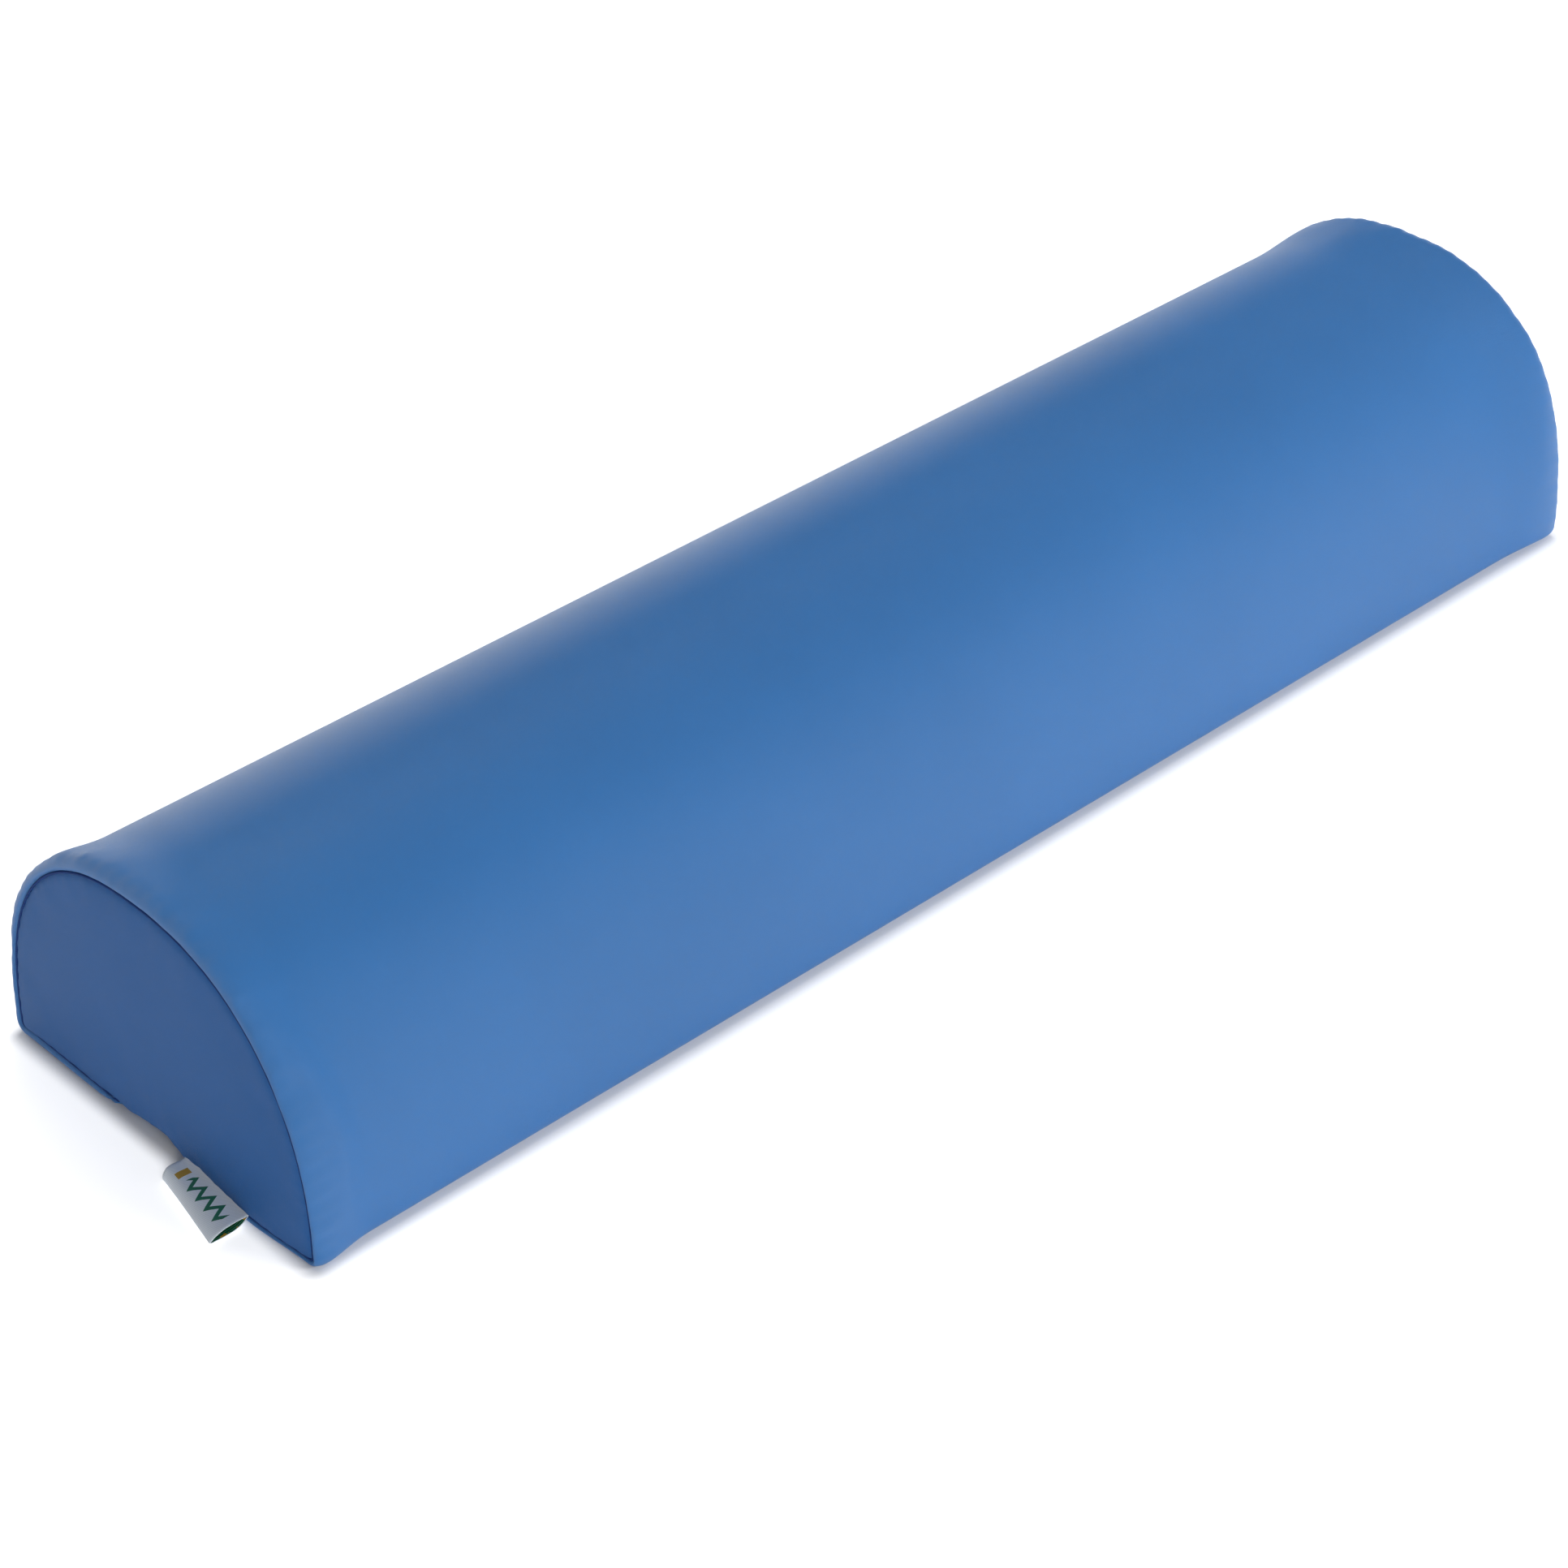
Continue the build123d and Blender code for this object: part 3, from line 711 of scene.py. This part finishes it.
def zip_coil(side, where):
    """One run of wound coil teeth, clear of the slider's wedge along the middle."""
    width, height = COIL_HIGH.y - COIL_LOW.y, COIL_HIGH.z - COIL_LOW.z
    start = -RIM_X + ZIP_SHORT
    turns = int(2 * (RIM_X - ZIP_SHORT) / COIL_PITCH) - 1
    angle = np.arange(0, turns * 2 * math.pi, 2 * math.pi / 14)
    shift = 0.0 if side > 0 else COIL_PITCH / 2
    x = start + shift + angle / (2 * math.pi) * COIL_PITCH
    radius_y = width / 2 - COIL_WIRE
    middle_y = COIL_LOW.y + width / 2
    y = side * (middle_y - radius_y * np.cos(angle))
    squared = np.sign(np.sin(angle)) * np.abs(np.sin(angle)) ** 0.7
    z = COIL_LOW.z + height / 2 + (height / 2 - COIL_WIRE) * squared
    verts, faces = tube(np.column_stack([x, y, z]), COIL_WIRE, sides=5)
    obj = mesh_object(f"coil_{where}", verts, faces)
    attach(obj, "cover")
    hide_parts(f"zip_coil_{where}")
    return obj


def zip_stitching(side, where):
    """Row of stitches along one hem, each sunk at both ends."""
    length = 4.2
    y = side * (HEM_STITCH_LOW.y + HEM_STITCH_HIGH.y) / 2
    count = int((HEM_STITCH_HIGH.x - HEM_STITCH_LOW.x) / STITCH_PITCH)
    parts = []
    for index in range(count):
        middle = (index - (count - 1) / 2) * STITCH_PITCH
        t = np.linspace(-1, 1, 9)
        z = HEM_LOW - 0.16 + 0.5 * np.abs(t) ** 4
        parts.append(tube(np.column_stack([middle + t * length / 2, np.full(9, y), z]), 0.24))
    obj = mesh_object(f"hem_stitches_{where}", *joined(parts))
    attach(obj, "cover")
    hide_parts(f"zip_stitching_{where}")
    return obj


def softened_copy(node, name, body, width_mm):
    """A CAD node's shape with rounded edges, standing for it."""
    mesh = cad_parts[node].data.copy()
    obj = bpy.data.objects.new(name, mesh)
    bpy.context.scene.collection.objects.link(obj)
    weld = obj.modifiers.new("weld", "WELD")
    weld.merge_threshold = 0.00001
    bevel = obj.modifiers.new("soft_edges", "BEVEL")
    bevel.width = width_mm * MM
    bevel.segments = 3
    bevel.limit_method = "ANGLE"
    bevel.angle_limit = math.radians(40)
    bevel.harden_normals = True
    apply_modifiers(obj)
    obj.data.shade_smooth()
    obj.data.materials.clear()
    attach(obj, body)
    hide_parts(node)
    return obj


# ---- materials ----------------------------------------------------------------------------
class Nodes:
    """Short way to add and link shader nodes."""

    def __init__(self, name):
        self.material = bpy.data.materials.new(name)
        self.material.use_nodes = True
        self.tree = self.material.node_tree
        self.shader = self.tree.nodes["Principled BSDF"]
        self.place = self.add("ShaderNodeTexCoord").outputs["Object"]

    def add(self, kind, inputs=None, **settings):
        node = self.tree.nodes.new(kind)
        for key, value in settings.items():
            setattr(node, key, value)
        for key, value in (inputs or {}).items():
            if hasattr(value, "is_linked") or hasattr(value, "links"):
                self.tree.links.new(value, node.inputs[key])
            else:
                node.inputs[key].default_value = value
        return node

    def link(self, output, socket):
        self.tree.links.new(output, self.shader.inputs[socket])

    def math(self, operation, a, b=0.0, c=None):
        inputs = {0: a, 1: b}
        if c is not None:
            inputs[2] = c
        return self.add("ShaderNodeMath", inputs, operation=operation).outputs[0]

    def noise(self, scale, detail):
        inputs = {"Scale": scale, "Detail": detail, "Vector": self.place}
        return self.add("ShaderNodeTexNoise", inputs).outputs["Fac"]

    def ramp(self, value, stops):
        node = self.add("ShaderNodeValToRGB", {"Fac": value})
        ramp = node.color_ramp
        while len(ramp.elements) < len(stops):
            ramp.elements.new(0.5)
        for element, (at, colour) in zip(ramp.elements, stops):
            element.position = at
            element.color = (*colour, 1.0)
        return node.outputs["Color"]

    def smooth_range(self, value, low, high):
        inputs = {"Value": value, "From Min": low, "From Max": high}
        return self.add("ShaderNodeMapRange", inputs, interpolation_type="SMOOTHSTEP").outputs[0]

    def bump(self, height, distance, strength, below=None):
        inputs = {"Height": height, "Distance": distance, "Strength": strength}
        if below is not None:
            inputs["Normal"] = below
        return self.add("ShaderNodeBump", inputs).outputs["Normal"]


GRAIN_SCALE = 980.0      # cells per metre before they are scattered
GRAIN_DEPTH = 0.00017    # metres, for the bump


def leatherette(name, colour, gloss, roughness):
    """Smooth PU leatherette: scattered fine grain, tiny pores, a little cloudiness."""
    m = Nodes(name)
    warp = m.add("ShaderNodeTexNoise", {"Scale": 420.0, "Detail": 2.0, "Vector": m.place}).outputs["Color"]
    # noise times itself, unscaled: it scatters the cells instead of nudging them
    shifted = m.add("ShaderNodeVectorMath", {0: warp, 1: warp, 2: m.place}, operation="MULTIPLY_ADD")
    cells = m.add("ShaderNodeTexVoronoi", {"Scale": GRAIN_SCALE, "Vector": shifted.outputs[0]},
                  feature="DISTANCE_TO_EDGE").outputs["Distance"]
    grain = m.add("ShaderNodeMapRange", {"Value": cells, "From Min": 0.0, "From Max": 0.22}).outputs[0]
    pores = m.noise(2600.0, 1.0)
    cloud = m.noise(9.0, 3.0)
    fine = m.bump(pores, 0.00002, 0.5)
    uneven = m.bump(m.noise(210.0, 2.0), 0.00012, 0.5, fine)
    normal = m.bump(grain, GRAIN_DEPTH, 0.85, uneven)
    m.link(normal, "Normal")
    darker = tuple(c * 0.955 for c in colour)
    lighter = tuple(min(c * 1.03, 1.0) for c in colour)
    m.link(m.ramp(cloud, [(0.35, darker), (0.65, lighter)]), "Base Color")
    gloss_range = {"Value": grain, "To Min": roughness + 0.08, "To Max": roughness}
    m.link(m.add("ShaderNodeMapRange", gloss_range).outputs[0], "Roughness")
    m.shader.inputs["Specular IOR Level"].default_value = gloss
    m.shader.inputs["Sheen Weight"].default_value = 0.05
    m.shader.inputs["Sheen Roughness"].default_value = 0.35
    return m.material


def foam_material():
    """Pale open-cell foam."""
    m = Nodes("foam")
    cells = m.add("ShaderNodeTexVoronoi", {"Scale": 900.0, "Vector": m.place}).outputs["Distance"]
    m.link(m.bump(cells, 0.0004, 0.8), "Normal")
    m.link(m.ramp(cells, [(0.1, (0.70, 0.64, 0.42)), (0.7, (0.88, 0.84, 0.66))]), "Base Color")
    m.shader.inputs["Roughness"].default_value = 0.95
    return m.material


def thread_material():
    """Twisted polyester thread, darker than the leatherette; it also colours the crease's dark line, a
    painted shadow.
    """
    m = Nodes("thread")
    twist = m.add("ShaderNodeTexWave", {"Scale": 900.0, "Distortion": 1.0, "Vector": m.place},
                  bands_direction="DIAGONAL").outputs["Fac"]
    m.link(m.bump(twist, 0.00008, 0.7), "Normal")
    m.link(m.ramp(twist, [(0.2, (0.006, 0.030, 0.13)), (0.8, (0.011, 0.050, 0.22))]), "Base Color")
    m.shader.inputs["Roughness"].default_value = 0.8
    m.shader.inputs["Specular IOR Level"].default_value = 0.15
    return m.material


def tape_material():
    """Herringbone-woven zip tape."""
    m = Nodes("zip_tape")
    split = m.add("ShaderNodeSeparateXYZ", {"Vector": m.place})
    x, y = split.outputs["X"], split.outputs["Y"]
    bands = m.math("PINGPONG", m.math("ADD", y, 1.0), 0.0012)
    slant = m.math("ADD", x, bands)
    yarn = m.math("SINE", m.math("MULTIPLY", slant, 2 * math.pi / 0.0007))
    height = m.math("MULTIPLY_ADD", yarn, 0.5, 0.5)
    m.link(m.bump(height, 0.00012, 0.8), "Normal")
    m.link(m.ramp(height, [(0.1, (0.012, 0.05, 0.17)), (0.9, (0.03, 0.11, 0.33))]), "Base Color")
    m.shader.inputs["Roughness"].default_value = 0.8
    return m.material


def coil_material():
    """Dyed nylon monofilament."""
    m = Nodes("zip_coil")
    streak = m.noise(260.0, 2.0)
    m.link(m.ramp(streak, [(0.3, (0.014, 0.06, 0.21)), (0.7, (0.025, 0.09, 0.29))]), "Base Color")
    m.link(m.bump(streak, 0.00003, 0.5), "Normal")
    m.shader.inputs["Roughness"].default_value = 0.34
    return m.material


def slider_material():
    """Lacquered die-cast zinc, rubbed a little in scattered spots."""
    m = Nodes("slider_metal")
    wear = m.noise(700.0, 4.0)
    m.link(m.ramp(wear, [(0.62, (0.03, 0.10, 0.30)), (0.72, (0.30, 0.33, 0.38))]), "Base Color")
    m.link(m.bump(wear, 0.00003, 0.4), "Normal")
    m.shader.inputs["Metallic"].default_value = 0.65
    m.shader.inputs["Roughness"].default_value = 0.32
    return m.material


GREEN = (0.004, 0.15, 0.075)
OCHRE = (0.50, 0.30, 0.02)
SATIN = (0.86, 0.93, 1.0)


def label_material(loop_length):
    """Woven satin: fine diagonal rib, raised selvages and a plain zigzag with one ochre bar."""
    m = Nodes("label_satin")
    uv = m.add("ShaderNodeTexCoord").outputs["UV"]
    split = m.add("ShaderNodeSeparateXYZ", {"Vector": uv})
    across, along = split.outputs["X"], split.outputs["Y"]
    width = LABEL_HIGH.y - LABEL_LOW.y
    a_mm = m.math("MULTIPLY", across, width)
    b_mm = m.math("MULTIPLY", along, loop_length)
    diagonal = m.math("ADD", a_mm, m.math("MULTIPLY", b_mm, 0.6))
    twill = m.math("SINE", m.math("MULTIPLY", diagonal, 2 * math.pi / 0.55))
    pick = m.math("SINE", m.math("MULTIPLY", b_mm, 2 * math.pi / 0.28))
    weave = m.math("MULTIPLY_ADD", twill, 0.35, m.math("MULTIPLY_ADD", pick, 0.15, 0.5))
    edge = m.math("MINIMUM", a_mm, m.math("SUBTRACT", width, a_mm))
    selvage = m.math("LESS_THAN", m.math("ABSOLUTE", m.math("SUBTRACT", edge, 1.3)), 0.28)
    centre = loop_length * 0.26
    tri = m.math("MULTIPLY", m.math("PINGPONG", a_mm, 2.6), 1.75)
    zig = m.math("ABSOLUTE", m.math("SUBTRACT", m.math("SUBTRACT", b_mm, centre - 2.3), tri))
    in_zig = m.math("LESS_THAN", zig, 1.35)
    inside = m.math("MULTIPLY", m.math("GREATER_THAN", a_mm, 9.2), m.math("LESS_THAN", a_mm, width - 3.6))
    green = m.math("MULTIPLY", in_zig, inside)
    bar_a = m.math("LESS_THAN", m.math("ABSOLUTE", m.math("SUBTRACT", a_mm, 5.7)), 1.4)
    bar_b = m.math("LESS_THAN", m.math("ABSOLUTE", m.math("SUBTRACT", b_mm, centre)), 2.9)
    ochre = m.math("MULTIPLY", bar_a, bar_b)
    satin = m.ramp(weave, [(0.15, tuple(c * 0.80 for c in SATIN)), (0.85, SATIN)])
    mix_a = m.add("ShaderNodeMix", {"Factor": green}, data_type="RGBA")
    m.tree.links.new(satin, mix_a.inputs["A"])
    mix_a.inputs["B"].default_value = (*GREEN, 1)
    mix_b = m.add("ShaderNodeMix", {"Factor": ochre}, data_type="RGBA")
    m.tree.links.new(mix_a.outputs["Result"], mix_b.inputs["A"])
    mix_b.inputs["B"].default_value = (*OCHRE, 1)
    m.tree.links.new(mix_b.outputs["Result"], m.shader.inputs["Base Color"])
    height = m.math("ADD", m.math("MULTIPLY", weave, 0.5), m.math("MULTIPLY", selvage, 0.8))
    m.link(m.bump(height, 0.00008, 0.8), "Normal")
    m.shader.inputs["Roughness"].default_value = 0.5
    m.shader.inputs["Sheen Weight"].default_value = 0.15
    return m.material


def label_reverse_material():
    """The label's back: loose green floats with a few ochre yarns."""
    m = Nodes("label_reverse")
    split = m.add("ShaderNodeSeparateXYZ", {"Vector": m.place})
    yarn = m.math("SINE", m.math("MULTIPLY", split.outputs["Y"], 2 * math.pi / 0.0008))
    height = m.math("MULTIPLY_ADD", yarn, 0.5, 0.5)
    spots = m.noise(420.0, 1.0)
    few = m.math("GREATER_THAN", spots, 0.62)
    mix = m.add("ShaderNodeMix", {"Factor": few}, data_type="RGBA")
    m.tree.links.new(m.ramp(height, [(0.1, (0.0, 0.05, 0.02)), (0.9, (0.01, 0.22, 0.10))]), mix.inputs["A"])
    mix.inputs["B"].default_value = (*OCHRE, 1)
    m.tree.links.new(mix.outputs["Result"], m.shader.inputs["Base Color"])
    m.link(m.bump(height, 0.0002, 0.9), "Normal")
    m.shader.inputs["Roughness"].default_value = 0.7
    return m.material


def floor_material():
    """White paper sweep with painted light: it glows a little, more on the shaded side, and the glow is cut
    out beside the bolster to paint a contact shadow.
    """
    m = Nodes("floor")
    split = m.add("ShaderNodeSeparateXYZ", {"Vector": m.place})
    x, y = split.outputs["X"], split.outputs["Y"]
    past_end = m.math("MAXIMUM", m.math("SUBTRACT", m.math("ABSOLUTE", x), SHADOW_HALF[0]), 0.0)
    past_side = m.math("MAXIMUM", m.math("SUBTRACT", m.math("ABSOLUTE", y), SHADOW_HALF[1]), 0.0)
    apart = m.math("SQRT", m.math("ADD", m.math("POWER", past_end, 2.0), m.math("POWER", past_side, 2.0)))
    # painted shadow: the glow fades out towards the bolster's footprint
    clear = m.smooth_range(apart, 0.0, SHADOW_REACH)
    towards_shade = m.math("ADD", m.math("MULTIPLY", x, -0.68), m.math("MULTIPLY", y, 0.73))
    shaded = m.smooth_range(towards_shade, 0.05, 0.15)
    # painted light: the floor glows, more where the lamps leave it in shade
    glow = m.math("MULTIPLY_ADD", shaded, SHADE_GLOW, FLOOR_GLOW)
    m.link(m.math("MULTIPLY", glow, clear), "Emission Strength")
    m.shader.inputs["Base Color"].default_value = (0.90, 0.90, 0.91, 1)
    m.shader.inputs["Roughness"].default_value = 0.9
    m.shader.inputs["Specular IOR Level"].default_value = 0.0
    m.shader.inputs["Emission Color"].default_value = (1, 1, 1, 1)
    return m.material


# ---- studio -------------------------------------------------------------------------------
CAMERA_TARGET = Vector((-0.0580, -0.0277, 0.0345))
CAMERA_AZIMUTH = -43.17
CAMERA_ELEVATION = 36.01
CAMERA_ROLL = -0.23
CAMERA_DISTANCE = 1.3773
LENS = 93.645


def camera():
    """Long lens, looking down along the bolster from its front right."""
    data = bpy.data.cameras.new("camera")
    data.lens = LENS
    data.sensor_width = 36.0
    obj = bpy.data.objects.new("camera", data)
    bpy.context.scene.collection.objects.link(obj)
    a, e = math.radians(CAMERA_AZIMUTH), math.radians(CAMERA_ELEVATION)
    back = Vector((math.sin(a) * math.cos(e), -math.cos(a) * math.cos(e), math.sin(e)))
    obj.location = CAMERA_TARGET + back * CAMERA_DISTANCE
    turn = (-back).to_track_quat("-Z", "Y").to_matrix()
    roll = Matrix.Rotation(math.radians(CAMERA_ROLL), 3, "Z")
    obj.rotation_euler = (turn @ roll).to_euler()
    bpy.context.scene.camera = obj


def softbox(name, place, towards, size, power):
    """Rectangular area light aimed at a point."""
    data = bpy.data.lights.new(name, "AREA")
    data.shape = "RECTANGLE"
    data.size, data.size_y = size
    data.energy = power
    obj = bpy.data.objects.new(name, data)
    obj.location = place
    obj.rotation_euler = (Vector(towards) - Vector(place)).to_track_quat("-Z", "Y").to_euler()
    bpy.context.scene.collection.objects.link(obj)


SOFTBOXES = [
    # name, place, aimed at, size, watts
    ("top", (0.45, 0.35, 1.85), (-0.1, 0.0, 0.0), (1.1, 1.2), 16.3),
    ("key_right", (0.8, -1.9, 1.2), (0.0, 0.0, 0.05), (0.8, 0.6), 23.0),
    ("back", (0.2, 2.2, 0.9), (0.0, 0.0, 0.1), (2.6, 1.2), 18.6),
    ("front_right", (-1.3, -2.0, 1.5), (0.0, 0.0, 0.05), (1.2, 1.0), 25.0),
    ("far_end", (2.3, -0.3, 1.3), (0.0, 0.0, 0.05), (1.4, 1.2), 13.2),
]
SURROUND = 0.01
FLOOR_GLOW = 0.44        # the floor's own light
SHADE_GLOW = 0.22        # and how much more of it on the shaded side
SHADOW_REACH = 0.0080    # painted contact shadow: beside the bolster the floor's glow is cut and takes this far to reach full
SHADOW_HALF = (RIM_X * MM - 0.0015, 0.0765)     # half length and width of the painted shadow's dark footprint
FLOOR_HALF = 6.0


def studio():
    """White surround, soft lights and a pale floor."""
    world = bpy.data.worlds.new("surround")
    world.use_nodes = True
    world.node_tree.nodes["Background"].inputs["Color"].default_value = (1.0, 1.0, 1.0, 1)
    world.node_tree.nodes["Background"].inputs["Strength"].default_value = SURROUND
    bpy.context.scene.world = world
    for box in SOFTBOXES:
        softbox(*box)
    half = FLOOR_HALF / MM
    corners = np.array([(-half, -half, 0), (half, -half, 0), (half, half, 0), (-half, half, 0)])
    floor = mesh_object("floor", corners, [(0, 1, 2, 3)])
    floor.location.z = -0.0004
    floor.data.materials.append(floor_material())
    bpy.context.scene.view_settings.view_transform = "Standard"


# ---- everything ---------------------------------------------------------------------------
camera()
studio()

wrap_leather = leatherette("leatherette", (0.043, 0.284, 0.790), 0.60, 0.31)
# painted shade: the end panels take the wrap's leatherette painted darker, for ends that face away from the
# lamps
painted_shade_end_leather = leatherette("end_leatherette", (0.025, 0.182, 0.58), 0.22, 0.50)
thread = thread_material()
tape_cloth = tape_material()
nylon = coil_material()
metal = slider_material()

wrap_panel().data.materials.append(wrap_leather)
pillow = pillow_field()
for end in (-1, 1):
    end_panel(end, pillow).data.materials.append(painted_shade_end_leather)
    seam_thread(end).data.materials.append(thread)
foam_core().data.materials.append(foam_material())
woven_label(label_material(LABEL_LOOP), label_reverse_material())
for side, where in ((1, "left"), (-1, "right")):
    zip_tape(side, where).data.materials.append(tape_cloth)
    zip_coil(side, where).data.materials.append(nylon)
    zip_stitching(side, where).data.materials.append(thread)
softened_copy("zip_slider", "slider_body", "slider", 0.22).data.materials.append(metal)
softened_copy("zip_pull_tab", "pull_tab", "pull", 0.18).data.materials.append(metal)
